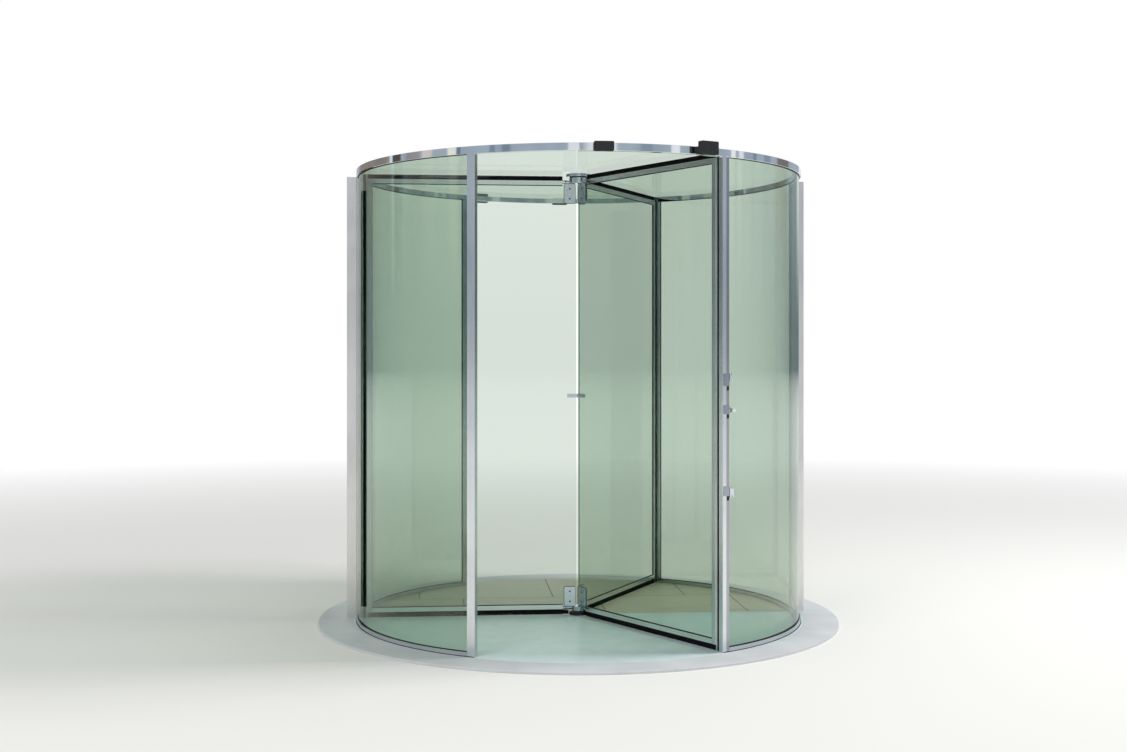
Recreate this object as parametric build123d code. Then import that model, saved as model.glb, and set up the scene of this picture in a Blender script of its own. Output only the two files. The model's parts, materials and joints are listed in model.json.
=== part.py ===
"""All-glass revolving door: three wings, a curved glass drum, a canopy ring with a glass ceiling.

Millimetres, Z up. The turning axis is the Z axis, the underside of the floor is Z = 0 and the front
entrance faces -Y. Angles are degrees about Z, counted from +X.
"""
import os
from math import degrees

from build123d import *

os.makedirs("parts", exist_ok=True)

# Drum plan
drum_radius = 1450.0
wall_depth = 36.0
entrance_half_angle = 29.5
front_angle = -90.0
rear_angle = 90.0

# Floor
floor_thickness = 15.0
floor_ring_width = 225.0
floor_disc_margin = 15.0
floor_joint = 1.0
floor_edge_chamfer = 2.0

# Edge posts
post_width = 50.0
post_corner = 3.0
section_wall = 3.0
post_bead_width = 22.0
post_bead_step = 1.5
bead_line_width = 1.5
bead_line_depth = 1.0

# Curved glass and its seats
wall_glass_thickness = 12.0
glass_bite = 14.0
glass_edge_gap = 2.0
gasket_width = 4.0
gasket_lip = 2.0
seat_gap = 0.15
upright_gap = 0.45
gasket_end_gap = 5.0
channel_height = 26.0
channel_web = 10.0

# Connection posts outside the drum
wall_post_reach = 61.0
wall_post_width = 50.0
wall_post_rise = 10.0
wall_post_tongue = 6.0

# Canopy
clear_height = 2858.0
ring_height = 45.0
ring_joint_angle = -5.3
ring_joint = 1.0
ring_edge = 2.0
rebate_width = 20.0
ceiling_glass_thickness = 10.0
ceiling_glass_drop = 1.0
ceiling_glass_gap = 2.0

# Bearings
bearing_plate_diameter = 160.0
bearing_lower_plate = 8.0
bearing_upper_plate = 10.0
bearing_neck_diameter = 60.0
bearing_edge = 2.0
floor_bearing_diameter = 118.0
floor_bearing_height = 20.0
floor_bearing_foot = 3.0
pivot_diameter = 30.0
pivot_clearance = 0.06
pivot_length = 20.0
pivot_end_gap = 2.0

# Sensors on the canopy ring
sensor_drop = 5.0
sensor_corner = 7.0
centre_sensor_width = 113.0
centre_sensor_height = 54.0
centre_sensor_depth = 40.0
side_sensor_angle = 24.0
side_sensor_width = 118.0
side_sensor_height = 76.0
side_sensor_depth = 36.0
sensor_bracket_width = 100.0
sensor_bracket_depth = 33.0
sensor_bracket_rise = 1.0

# Lock on the right front post
lock_plate_thickness = 3.0
lock_plate_width = 46.0
latch_rise = 172.0
latch_plate_length = 72.0
upper_lock_height = 1401.0
upper_plate_length = 52.0
lower_lock_height = 930.0
lower_plate_length = 57.0
lock_slot_width = 13.0
lock_slot_height = 24.0
lock_slot_depth = 3.0
lock_slot_edge = 3.5
lock_slot_gap = 2.0
latch_block_width = 23.0
latch_block_length = 46.0
latch_block_rise = 12.0
latch_cylinder_diameter = 12.0
latch_cylinder_length = 5.0
key_block_width = 31.0
key_block_length = 60.0
key_block_proud = 3.0
key_block_drop = 10.0
knob_offset = 41.0
knob_drop = 5.0
knob_rosette_diameter = 26.0
knob_rosette_depth = 6.0
knob_neck_diameter = 14.0
knob_neck_length = 8.0
knob_diameter = 27.0
knob_length = 22.0
knob_flat_width = 19.0
knob_flat_depth = 13.0
knob_edge = 2.0
knob_gap = 0.3
keyhole_rise = 13.0
keyhole_diameter = 13.0
keyhole_depth = 1.5
key_slot_width = 2.5
key_slot_length = 8.0
key_slot_depth = 8.0

# Rotor
wing_angles = (-60.0, 60.0, 180.0)
turning_gap = 5.0
ceiling_seal_gap = 7.0
wing_glass_thickness = 12.0
glass_slot_play = 0.3
rail_height = 30.0
rail_thickness = 22.0
rail_bite = 18.0
rail_corner = 2.0
rail_bead_height = 11.0
rail_start = 104.0
stile_width = 32.0
side_seal_width = 26.0
bottom_seal_height = 30.0
top_seal_height = 25.0
seal_thickness = 12.0
seal_root_width = 8.0
seal_root_depth = 5.0
inner_seal_clearance = 5.0
inner_seal_height = 23.0
wing_glass_start = 16.0

# Hubs, clamps and the mid connector
hub_diameter = 120.0
hub_height = 39.0
hub_edge = 3.0
lower_hub_diameter = 84.0
lower_hub_height = 30.0
lower_hub_gap = 5.0
arm_diameter = 18.0
collar_diameter = 27.0
arm_offset = 7.0
collar_length = 8.0
arm_screw_radius = 83.0
arm_screw_diameter = 10.0
arm_screw_depth = 6.0
notch_gap = 1.0
clamp_gap = 0.5
clamp_start = 19.0
clamp_width = 75.0
clamp_length = 127.0
clamp_thickness = 8.0
clamp_corner = 9.0
clamp_edge = 1.0
clamp_screw_diameter = 13.0
clamp_screw_depth = 5.0
clamp_screw_spacing = 66.0
connector_height = 24.0
connector_centre = 1443.0
connector_reach = 71.0
connector_core_diameter = 28.0
connector_plate = 6.0
connector_screw_radius = 40.0
connector_screw_diameter = 9.0
connector_screw_depth = 3.0

# Levels and radii that follow from the sizes above
floor_top = floor_thickness
inner_radius = drum_radius - wall_depth
mid_radius = drum_radius - wall_depth / 2
groove_width = wall_glass_thickness + 2 * gasket_width
ring_bottom = floor_top + clear_height
ring_top = ring_bottom + ring_height
wall_post_top = ring_bottom + wall_post_rise
ceiling_level = ring_top - ceiling_glass_drop - ceiling_glass_thickness
latch_height = upper_lock_height + latch_rise
floor_disc_radius = drum_radius + floor_disc_margin
post_angle = rear_angle - entrance_half_angle - degrees(post_width / 2 / drum_radius)
glass_outer_radius = mid_radius + wall_glass_thickness / 2
wing_reach = inner_radius - turning_gap
stile_outer = wing_reach - side_seal_width
stile_inner = stile_outer - stile_width
seal_top = ceiling_level - ceiling_seal_gap
top_rail_top = seal_top - top_seal_height
top_rail_bottom = top_rail_top - rail_height
seal_bottom = floor_top + turning_gap
bottom_rail_bottom = seal_bottom + bottom_seal_height
bottom_rail_top = bottom_rail_bottom + rail_height
hub_top = ceiling_level - bearing_lower_plate - turning_gap
hub_bottom = hub_top - hub_height
upper_arm_level = top_rail_bottom + rail_height / 2 + arm_offset
upper_clamp_top = upper_arm_level - collar_diameter / 2 - clamp_gap
lower_hub_bottom = floor_top + floor_bearing_height + lower_hub_gap
lower_hub_top = lower_hub_bottom + lower_hub_height
lower_arm_level = bottom_rail_bottom + rail_height / 2 - arm_offset
lower_clamp_bottom = lower_arm_level + collar_diameter / 2 + clamp_gap


def turned(shape, angle):
    return Rot(0, 0, angle) * shape


def swept_arc(face, start, end):
    """Revolve a face of the XZ plane about Z from one angle to another."""
    return turned(revolve(face, Axis.Z, end - start), start)


def section(radius_low, radius_high, z_low, z_high):
    """A rectangle in the XZ plane between two radii and two levels."""
    width = radius_high - radius_low
    height = z_high - z_low
    return Plane.XZ * Pos(radius_low + width / 2, z_low + height / 2) * Rectangle(width, height)


def block(x_low, x_high, y_low, y_high, z_low, z_high):
    size = (x_high - x_low, y_high - y_low, z_high - z_low)
    corner = Align.MIN
    return Pos(x_low, y_low, z_low) * Box(*size, align=(corner, corner, corner))


def span(x_low, x_high, y_low, y_high):
    """A rectangle of a flat sketch between two positions each way."""
    return Pos((x_low + x_high) / 2, (y_low + y_high) / 2) * Rectangle(x_high - x_low, y_high - y_low)


def rounded_profile(points):
    """A face in the XZ plane from (radius, z) points, for a revolve about Z."""
    return Plane.XZ * make_face(Polyline(*points, close=True))


def screw_seat(x, z, diameter, y_low, y_high):
    """Round blind hole along Y for the head of a screw."""
    start = (Align.CENTER, Align.CENTER, Align.MIN)
    return Pos(x, y_low, z) * Rot(-90, 0, 0) * Cylinder(diameter / 2, y_high - y_low, align=start)


def write(name, *solids):
    shape = solids[0] if len(solids) == 1 else Compound(children=list(solids))
    shape.label = name
    export_step(shape, f"parts/{name}.step")


# Floor

def make_floor():
    disc = Cylinder(floor_disc_radius, floor_thickness, align=(Align.CENTER, Align.CENTER, Align.MIN))
    disc -= Cylinder(
        bearing_neck_diameter / 2 + seat_gap,
        floor_thickness,
        align=(Align.CENTER, Align.CENTER, Align.MIN),
    )
    ring_inner = floor_disc_radius + floor_joint
    ring_outer = ring_inner + floor_ring_width
    ring = revolve(section(ring_inner, ring_outer, 0, floor_thickness), Axis.Z)
    outer_edge = ring.edges().filter_by(GeomType.CIRCLE).group_by(Axis.Z)[-1].sort_by(SortBy.RADIUS)[-1]
    ring = chamfer(outer_edge, floor_edge_chamfer)
    write("floor_disc", disc)
    write("floor_ring", ring)


# Edge posts

def post_blank():
    """Outer block of an edge post, centred on the +X direction."""
    half = post_width / 2
    return block(inner_radius, drum_radius, -half, half, floor_top, ring_bottom)


def post_profile():
    """Extruded section of an edge post: chamber, glass slot on the -Y side and the glazing bead over it."""
    half = post_width / 2
    slot_end = -half + glass_bite
    bead_end = -half + post_bead_width
    groove = groove_width / 2
    profile = Pos(mid_radius, 0) * RectangleRounded(wall_depth, post_width, post_corner)
    profile -= span(
        inner_radius + section_wall, drum_radius - section_wall, slot_end + section_wall, half - section_wall
    )
    profile -= span(mid_radius - groove, mid_radius + groove, -half, slot_end)
    profile -= span(drum_radius - post_bead_step, drum_radius, -half, bead_end)
    line_floor = drum_radius - post_bead_step - bead_line_depth
    return profile - span(line_floor, drum_radius, bead_end, bead_end + bead_line_width)


def edge_post():
    return Pos(0, 0, floor_top) * extrude(post_profile(), amount=clear_height)


def lock_slots():
    """Pockets in the glazing bead of the lock post, one below each lock plate."""
    face = drum_radius - post_bead_step
    side = post_width / 2 - lock_slot_edge
    pockets = []
    for height, length in (
        (latch_height, latch_plate_length),
        (upper_lock_height, upper_plate_length),
        (lower_lock_height, lower_plate_length),
    ):
        top = floor_top + height - length / 2 - lock_slot_gap
        pockets.append(
            block(face - lock_slot_depth, face, side - lock_slot_width, side, top - lock_slot_height, top)
        )
    return pockets


def make_posts():
    post = edge_post()
    mirrored = mirror(post, Plane.XZ)
    write("rear_post_right", turned(post, post_angle))
    write("front_post_right", turned(mirrored - lock_slots(), -post_angle))
    write("rear_post_left", turned(mirrored, 180 - post_angle))
    write("front_post_left", turned(post, 180 + post_angle))


def without_posts(shape, middle):
    """Cut the ends of an arc that is centred on an angle back to the faces of its two posts."""
    return shape - turned(post_blank(), middle - post_angle) - turned(post_blank(), middle + post_angle)


# Curved walls

def base_channel(middle):
    low = floor_top
    high = floor_top + channel_height
    profile = section(inner_radius, drum_radius, low, high)
    profile -= section(mid_radius - groove_width / 2, mid_radius + groove_width / 2, low + channel_web, high)
    arc = swept_arc(profile, middle - post_angle, middle + post_angle)
    return without_posts(arc, middle)


def wall_glass(middle, side):
    """One pane of a curved wall: side -1 or 1 is the half before or after the connection post."""
    edge = post_angle - degrees((post_width / 2 - glass_bite + glass_edge_gap) / drum_radius)
    joint = degrees(wall_post_tongue / 2 / drum_radius) + degrees(seat_gap / drum_radius)
    low = floor_top + channel_web
    high = ring_bottom + glass_bite - glass_edge_gap
    half = wall_glass_thickness / 2
    profile = section(mid_radius - half, mid_radius + half, low, high)
    start, end = (middle + joint, middle + edge) if side > 0 else (middle - edge, middle - joint)
    return swept_arc(profile, start, end)


def wall_gaskets(middle):
    """Rubber strips on both faces of the glass, in the base channel, the canopy ring and the posts."""
    reach = post_angle - degrees((post_width / 2 + gasket_end_gap) / drum_radius)
    inner = (mid_radius - groove_width / 2 + seat_gap, mid_radius - wall_glass_thickness / 2 - seat_gap)
    outer = (mid_radius + wall_glass_thickness / 2 + seat_gap, mid_radius + groove_width / 2 - seat_gap)
    channel_top = floor_top + channel_height
    slot_play = upright_gap - seat_gap
    strips = []
    for low, high, glass_low, glass_high in ((*inner, 0, slot_play), (*outer, 0, 0)):
        bottom = section(low, high, floor_top + channel_web, channel_top + gasket_lip)
        top = section(low, high, ring_bottom - gasket_lip, ring_bottom + glass_bite)
        strips.append(swept_arc(bottom, middle - reach, middle + reach))
        strips.append(swept_arc(top, middle - reach, middle + reach))
        upright = block(
            low + glass_low,
            high - glass_high,
            -post_width / 2 - gasket_lip,
            -post_width / 2 + glass_bite - seat_gap,
            channel_top + gasket_lip + seat_gap,
            ring_bottom - gasket_lip - seat_gap,
        )
        strips.append(turned(upright, middle + post_angle))
        strips.append(turned(mirror(upright, Plane.XZ), middle - post_angle))
    return strips


def connection_post(middle):
    """Post outside the drum that the wall of the building meets, with a tongue between the panes."""
    outer = drum_radius + wall_post_reach
    height = wall_post_top - floor_top
    profile = Pos((inner_radius + outer) / 2, 0) * RectangleRounded(
        outer - inner_radius, wall_post_width, post_corner
    )
    inside = wall_post_width / 2 - section_wall
    profile -= Circle(drum_radius)
    profile -= span(drum_radius + section_wall, outer - section_wall, -inside, inside)
    tongue_low = floor_top + channel_height + gasket_lip + seat_gap
    tongue_high = ring_bottom - gasket_lip - seat_gap
    tongue = span(
        mid_radius - wall_glass_thickness / 2,
        drum_radius + section_wall,
        -wall_post_tongue / 2,
        wall_post_tongue / 2,
    )
    post = Pos(0, 0, floor_top) * extrude(profile, amount=height)
    post += Pos(0, 0, tongue_low) * extrude(tongue, amount=tongue_high - tongue_low)
    return turned(post, middle)


def make_walls():
    for name, middle in (("right", 0.0), ("left", 180.0)):
        write(f"base_channel_{name}", base_channel(middle))
        write(f"connection_post_{name}", connection_post(middle))
    write("wall_glass_front_right", wall_glass(0.0, -1))
    write("wall_glass_rear_right", wall_glass(0.0, 1))
    write("wall_glass_rear_left", wall_glass(180.0, -1))
    write("wall_glass_front_left", wall_glass(180.0, 1))
    write("wall_gaskets", *wall_gaskets(0.0), *wall_gaskets(180.0))


# Canopy

def ring_profile():
    """Hollow section of the canopy ring with the rebate that carries the ceiling glass."""
    rebate_depth = ring_top - ceiling_level
    outer = section(inner_radius, drum_radius, ring_bottom, ring_top)
    outer = chamfer(outer.vertices().group_by(Axis.X)[-1], ring_edge)
    outer -= section(inner_radius, inner_radius + rebate_width, ceiling_level, ring_top)
    low = ring_bottom + glass_bite + section_wall
    high = ring_top - section_wall
    far = drum_radius - section_wall
    lower = section(inner_radius + section_wall, far, low, high - rebate_depth)
    upper = section(inner_radius + rebate_width + section_wall, far, low, high)
    return outer - (lower + upper)


def canopy_ring(start, end):
    half_joint = degrees(ring_joint / 2 / drum_radius)
    ring = swept_arc(ring_profile(), start + half_joint, end - half_joint)
    groove = section(
        mid_radius - groove_width / 2, mid_radius + groove_width / 2, ring_bottom, ring_bottom + glass_bite
    )
    for middle in (0.0, 180.0):
        ring -= swept_arc(groove, middle - post_angle, middle + post_angle)
    return ring


def ceiling_bearing():
    """Spool that clamps the ceiling glass and takes the upper pivot of the rotor."""
    neck = bearing_neck_diameter / 2
    rim = bearing_plate_diameter / 2
    glass_top = ceiling_level + ceiling_glass_thickness
    low = ceiling_level - bearing_lower_plate
    high = glass_top + bearing_upper_plate
    spool = revolve(section(0, rim, low, ceiling_level), Axis.Z)
    spool += revolve(section(0, neck, ceiling_level, glass_top), Axis.Z)
    spool += revolve(section(0, rim, glass_top, high), Axis.Z)
    rims = spool.edges().filter_by(GeomType.CIRCLE).group_by(Axis.Z)
    spool = fillet([rims[0], rims[-1]], bearing_edge)
    bore_length = pivot_length + pivot_end_gap
    bore = Pos(0, 0, low) * Cylinder(
        pivot_diameter / 2 + pivot_clearance, bore_length, align=(Align.CENTER, Align.CENTER, Align.MIN)
    )
    return spool - bore


def make_canopy():
    joint = front_angle + ring_joint_angle
    write("canopy_ring_right", canopy_ring(joint, joint + 180))
    write("canopy_ring_left", canopy_ring(joint + 180, joint + 360))
    glass_radius = inner_radius + rebate_width - ceiling_glass_gap
    hole_radius = bearing_neck_diameter / 2 + seat_gap
    pane = section(hole_radius, glass_radius, ceiling_level, ceiling_level + ceiling_glass_thickness)
    write("ceiling_glass", revolve(pane, Axis.Z))
    write("ceiling_bearing", ceiling_bearing())


def make_floor_bearing():
    top = floor_top + floor_bearing_height
    cover = revolve(section(0, floor_bearing_diameter / 2, floor_top, top), Axis.Z)
    rim = cover.edges().filter_by(GeomType.CIRCLE).group_by(Axis.Z)[-1]
    cover = fillet(rim, bearing_edge)
    cover += revolve(section(0, bearing_neck_diameter / 2, floor_bearing_foot, floor_top), Axis.Z)
    bore = Pos(0, 0, top) * Cylinder(
        pivot_diameter / 2 + pivot_clearance,
        pivot_length + pivot_end_gap,
        align=(Align.CENTER, Align.CENTER, Align.MAX),
    )
    write("floor_bearing", cover - bore)


# Sensors

def sensor_body(width, height, depth, back_radius):
    """Rounded sensor housing in the +X direction, its back cut to the round of the ring."""
    low = ring_bottom - sensor_drop
    half = width / 2
    body = block(back_radius - wall_depth / 2, back_radius + depth, -half, half, low, low + height)
    body = fillet(body.edges().filter_by(Axis.X), sensor_corner)
    body = fillet(body.faces().sort_by(Axis.X)[-1].edges(), sensor_corner / 2)
    return body - ring_core(back_radius)


def ring_core(radius):
    height = ring_height + side_sensor_height
    return Pos(0, 0, ring_bottom - sensor_drop) * Cylinder(
        radius, height, align=(Align.CENTER, Align.CENTER, Align.MIN)
    )


def sensor_bracket():
    half = sensor_bracket_width / 2
    low = ring_bottom
    high = ring_top - sensor_bracket_rise
    body = block(inner_radius, drum_radius + sensor_bracket_depth, -half, half, low, high)
    front_trim = Pos(0, 0, low) * Cylinder(
        drum_radius + sensor_bracket_depth, high - low, align=(Align.CENTER, Align.CENTER, Align.MIN)
    )
    return (body & front_trim) - ring_core(drum_radius)


def make_sensors():
    centre = sensor_body(centre_sensor_width, centre_sensor_height, centre_sensor_depth, drum_radius)
    side = sensor_body(
        side_sensor_width, side_sensor_height, side_sensor_depth, drum_radius + sensor_bracket_depth
    )
    bracket = sensor_bracket()
    write("sensor_front_centre", turned(centre, front_angle))
    write("sensor_rear_centre", turned(centre, rear_angle))
    write("sensor_front_right", turned(side, front_angle + side_sensor_angle))
    write("sensor_rear_left", turned(side, rear_angle + side_sensor_angle))
    write(
        "sensor_brackets",
        turned(bracket, front_angle + side_sensor_angle),
        turned(bracket, rear_angle + side_sensor_angle),
    )


# Lock

def lock_plate(length, centre_height):
    face = drum_radius + lock_plate_thickness
    half = lock_plate_width / 2
    middle = floor_top + centre_height
    plate = block(drum_radius, face, -half, half, middle - length / 2, middle + length / 2)
    return fillet(plate.edges().filter_by(Axis.X), post_corner)


def glass_block(width, length, low):
    """Rounded housing beside the lock post, standing on the curved glass."""
    start = post_width / 2 + gasket_lip + seat_gap
    body = block(mid_radius, drum_radius + key_block_proud, start, start + width, low, low + length)
    body = fillet(body.faces().sort_by(Axis.X)[-1].edges(), lock_plate_thickness / 2)
    glass = Pos(0, 0, low) * Cylinder(
        glass_outer_radius, length, align=(Align.CENTER, Align.CENTER, Align.MIN)
    )
    return body - glass


def on_block(width, level):
    """Place on the outer face of a housing beside the lock post, with +Z pointing inwards."""
    middle = post_width / 2 + gasket_lip + seat_gap + width / 2
    return Pos(drum_radius + key_block_proud, middle, level) * Rot(0, -90, 0)


def key_block():
    low = floor_top + lower_lock_height - key_block_drop - key_block_length / 2
    body = glass_block(key_block_width, key_block_length, low)
    keyhole = on_block(key_block_width, low + keyhole_rise)
    recess = keyhole * Cylinder(keyhole_diameter / 2, 2 * keyhole_depth)
    slot = keyhole * Box(key_slot_length, key_slot_width, 2 * key_slot_depth)
    return body - recess - slot


def latch_block():
    """Narrow housing beside the latch plate with the round end of its cylinder."""
    low = floor_top + latch_height + latch_plate_length / 2 - latch_block_length
    body = glass_block(latch_block_width, latch_block_length, low)
    barrel = Cylinder(latch_cylinder_diameter / 2, 2 * latch_cylinder_length)
    barrel = fillet(barrel.edges(), lock_plate_thickness / 2)
    return body + on_block(latch_block_width, low + latch_block_rise) * barrel


def on_knob_axis(shape):
    """Place a piece that is modelled along +Z from the curved glass outwards."""
    angle = -post_angle + degrees(knob_offset / drum_radius)
    height = floor_top + upper_lock_height - knob_drop
    return turned(Pos(glass_outer_radius, 0, height) * Rot(0, 90, 0) * shape, angle)


def knob_rosette():
    blank = Pos(0, 0, -wall_glass_thickness / 2) * Cylinder(
        knob_rosette_diameter / 2,
        knob_rosette_depth + wall_glass_thickness / 2,
        align=(Align.CENTER, Align.CENTER, Align.MIN),
    )
    glass = Pos(0, 0, floor_top) * Cylinder(
        glass_outer_radius, clear_height, align=(Align.CENTER, Align.CENTER, Align.MIN)
    )
    return on_knob_axis(blank) - glass


def lock_knob():
    """Round turn knob with two flats for the fingers."""
    start = knob_rosette_depth + knob_gap
    shoulder = start + knob_neck_length
    end = shoulder + knob_length
    neck = knob_neck_diameter / 2
    rim = knob_diameter / 2
    profile = rounded_profile(
        [
            (0, start),
            (neck, start),
            (neck, shoulder),
            (rim - knob_edge, shoulder),
            (rim, shoulder + knob_edge),
            (rim, end - knob_edge),
            (rim - knob_edge, end),
            (0, end),
        ]
    )
    knob = revolve(profile, Axis.Z)
    for side in (-1, 1):
        inner = side * knob_flat_width / 2
        outer = side * knob_diameter
        low, high = min(inner, outer), max(inner, outer)
        knob -= block(low, high, -knob_diameter, knob_diameter, end - knob_flat_depth, end + knob_edge)
    return on_knob_axis(knob)


def make_lock():
    write(
        "lock_plates",
        turned(lock_plate(latch_plate_length, latch_height), -post_angle),
        turned(lock_plate(upper_plate_length, upper_lock_height), -post_angle),
        turned(lock_plate(lower_plate_length, lower_lock_height), -post_angle),
        turned(latch_block(), -post_angle),
        turned(key_block(), -post_angle),
        knob_rosette(),
    )
    write("lock_knob", lock_knob())


# Wings, modelled along +X

def rail_profile():
    """Extruded section of a rail: glass slot on top, seal slot underneath, a glazing bead on both faces."""
    half = rail_thickness / 2
    top = rail_height / 2
    slot = wing_glass_thickness / 2 + glass_slot_play
    root = seal_root_width / 2
    bead = top - rail_bead_height
    profile = RectangleRounded(rail_thickness, rail_height, rail_corner)
    profile -= span(-slot, slot, top - rail_bite, top)
    profile -= span(-root, root, -top, -top + seal_root_depth)
    for face in (-1, 1):
        line = span(half - bead_line_depth, half, bead - bead_line_width, bead)
        profile -= mirror(line, Plane.YZ) if face < 0 else line
    return profile


def rail(z_low, is_top):
    profile = Rot(0, 0, 180) * rail_profile() if is_top else rail_profile()
    return Pos(rail_start, 0, z_low + rail_height / 2) * extrude(
        Plane.YZ * profile, amount=stile_inner - rail_start
    )


def stile_profile():
    """Extruded section of the outer stile, with its seal slot and the line of its glazing bead."""
    half = rail_thickness / 2
    root = seal_root_width / 2
    bead = stile_inner + rail_bead_height
    middle = (stile_inner + stile_outer) / 2
    profile = Pos(middle, 0) * RectangleRounded(stile_width, rail_thickness, rail_corner)
    profile -= span(stile_outer - seal_root_depth, stile_outer, -root, root)
    line = span(bead, bead + bead_line_width, half - bead_line_depth, half)
    return profile - line - mirror(line, Plane.XZ)


def stile():
    slot = wing_glass_thickness / 2 + glass_slot_play
    length = top_rail_top - bottom_rail_bottom
    body = Pos(0, 0, bottom_rail_bottom) * extrude(stile_profile(), amount=length)
    return body - block(
        stile_inner,
        stile_inner + rail_bite,
        -slot,
        slot,
        bottom_rail_top - rail_bite,
        top_rail_bottom + rail_bite,
    )


def wing_glass():
    """Flat pane in the rails and the stile, with both inner corners notched round the hub arms."""
    half = wing_glass_thickness / 2
    low = bottom_rail_top - rail_bite
    high = top_rail_bottom + rail_bite
    pane = block(wing_glass_start, stile_inner + rail_bite, -half, half, low, high)
    notch_end = rail_start + notch_gap
    pane -= block(0, notch_end, -rail_thickness, rail_thickness, low, bottom_rail_top + notch_gap)
    return pane - block(0, notch_end, -rail_thickness, rail_thickness, top_rail_bottom - notch_gap, high)


def wing_seals():
    """Black brush seals above, below and outside the frame of one wing."""
    half = seal_thickness / 2
    root = seal_root_width / 2 - seat_gap
    end = stile_outer - seat_gap
    top = block(rail_start, end, -half, half, top_rail_top, seal_top)
    top += block(rail_start, stile_inner, -root, root, top_rail_top - seal_root_depth, top_rail_top)
    bottom = block(rail_start, end, -half, half, seal_bottom, bottom_rail_bottom)
    bottom += block(
        rail_start, stile_inner, -root, root, bottom_rail_bottom, bottom_rail_bottom + seal_root_depth
    )
    inner_start = floor_bearing_diameter / 2 + inner_seal_clearance
    bottom += block(inner_start, rail_start, -half, half, seal_bottom, seal_bottom + inner_seal_height)
    side = block(stile_outer, wing_reach, -half, half, seal_bottom, seal_top)
    side += block(
        stile_outer - seal_root_depth, stile_outer, -root, root, bottom_rail_bottom, top_rail_top
    )
    return top, bottom, side


def make_wings():
    top = rail(top_rail_bottom, is_top=True)
    bottom = rail(bottom_rail_bottom, is_top=False)
    outer = stile()
    glass = wing_glass()
    seals = wing_seals()
    for number, angle in enumerate(wing_angles, start=1):
        write(f"wing_{number}_rails", turned(top, angle), turned(bottom, angle))
        write(f"wing_{number}_stile", turned(outer, angle))
        write(f"wing_{number}_glass", turned(glass, angle))
        write(f"wing_{number}_seals", *[turned(seal, angle) for seal in seals])


# Hubs

def hub_arm(level, collar_level, body_radius):
    """Round arm that widens from the hub to a collar at the end of a rail, with a screw seat each side."""
    narrow = Plane.YZ.offset(body_radius / 2) * Pos(0, level) * Circle(arm_diameter / 2)
    wide = Plane.YZ.offset(rail_start - collar_length) * Pos(0, collar_level) * Circle(collar_diameter / 2)
    arm = loft([narrow, wide]) + extrude(wide, amount=collar_length)
    outer = collar_diameter / 2
    for low, high in ((outer - arm_screw_depth, outer), (-outer, arm_screw_depth - outer)):
        arm -= screw_seat(arm_screw_radius, collar_level, arm_screw_diameter, low, high)
    return arm


def hub_tongue(z_low, z_high):
    half = wing_glass_thickness / 2
    return block(clamp_start, clamp_start + clamp_width, -half, half, z_low, z_high)


def hub_body(diameter, z_low, z_high):
    body = revolve(section(0, diameter / 2, z_low, z_high), Axis.Z)
    return fillet(body.edges().filter_by(GeomType.CIRCLE), hub_edge)


def make_hubs():
    pivot = pivot_diameter / 2
    upper = hub_body(hub_diameter, hub_bottom, hub_top)
    pivot_top = ceiling_level - bearing_lower_plate + pivot_length
    upper += revolve(section(0, pivot, hub_top - hub_edge, pivot_top), Axis.Z)
    lower = hub_body(lower_hub_diameter, lower_hub_bottom, lower_hub_top)
    pivot_bottom = floor_top + floor_bearing_height - pivot_length
    lower += revolve(section(0, pivot, pivot_bottom, lower_hub_bottom + hub_edge), Axis.Z)
    for angle in wing_angles:
        arm = hub_arm(hub_bottom + arm_diameter / 2, upper_arm_level, hub_diameter / 2)
        upper += turned(arm, angle)
        upper += turned(hub_tongue(top_rail_bottom, hub_bottom + hub_edge), angle)
        arm = hub_arm(lower_hub_top - arm_diameter / 2, lower_arm_level, lower_hub_diameter / 2)
        lower += turned(arm, angle)
        lower += turned(hub_tongue(lower_hub_top - hub_edge, bottom_rail_top), angle)
    write("upper_hub", upper)
    write("lower_hub", lower)


def clamp_plates(z_low, z_high):
    """A pair of plates for each wing, with two screw seats in the outer face of each plate."""
    inner = wing_glass_thickness / 2
    outer = inner + clamp_thickness
    plate = block(clamp_start, clamp_start + clamp_width, inner, outer, z_low, z_high)
    plate = fillet(plate.edges().filter_by(Axis.Y), clamp_corner)
    plate = chamfer(plate.faces().sort_by(Axis.Y)[-1].edges(), clamp_edge)
    middle = (z_low + z_high) / 2
    for side in (-1, 1):
        seat_height = middle + side * clamp_screw_spacing / 2
        plate -= screw_seat(
            clamp_start + clamp_width / 2, seat_height, clamp_screw_diameter, outer - clamp_screw_depth, outer
        )
    pair = (plate, mirror(plate, Plane.XZ))
    return [turned(side, angle) for angle in wing_angles for side in pair]


def mid_connector():
    """Three-way clip that ties the inner edges of the wings together at mid height."""
    low = floor_top + connector_centre - connector_height / 2
    high = low + connector_height
    inner = wing_glass_thickness / 2
    clip = revolve(section(0, connector_core_diameter / 2, low, high), Axis.Z)
    outer = inner + connector_plate
    plate = block(0, connector_reach, inner, outer, low, high)
    plate -= screw_seat(
        connector_screw_radius,
        (low + high) / 2,
        connector_screw_diameter,
        outer - connector_screw_depth,
        outer,
    )
    for angle in wing_angles:
        clip += turned(plate, angle) + turned(mirror(plate, Plane.XZ), angle)
    half_slot = wing_glass_thickness / 2
    for angle in wing_angles:
        slot = block(wing_glass_start, connector_reach, -half_slot, half_slot, low, high)
        clip -= turned(slot, angle)
    return clip


def make_fittings():
    make_hubs()
    write("upper_clamps", *clamp_plates(upper_clamp_top - clamp_length, upper_clamp_top))
    write("lower_clamps", *clamp_plates(lower_clamp_bottom, lower_clamp_bottom + clamp_length))
    write("mid_connector", mid_connector())


make_floor()
make_posts()
make_walls()
make_canopy()
make_floor_bearing()
make_sensors()
make_lock()
make_wings()
make_fittings()
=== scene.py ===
"""Looks of the all-glass revolving door: studio, finishes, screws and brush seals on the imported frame."""

import json
from math import pi, radians

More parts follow.
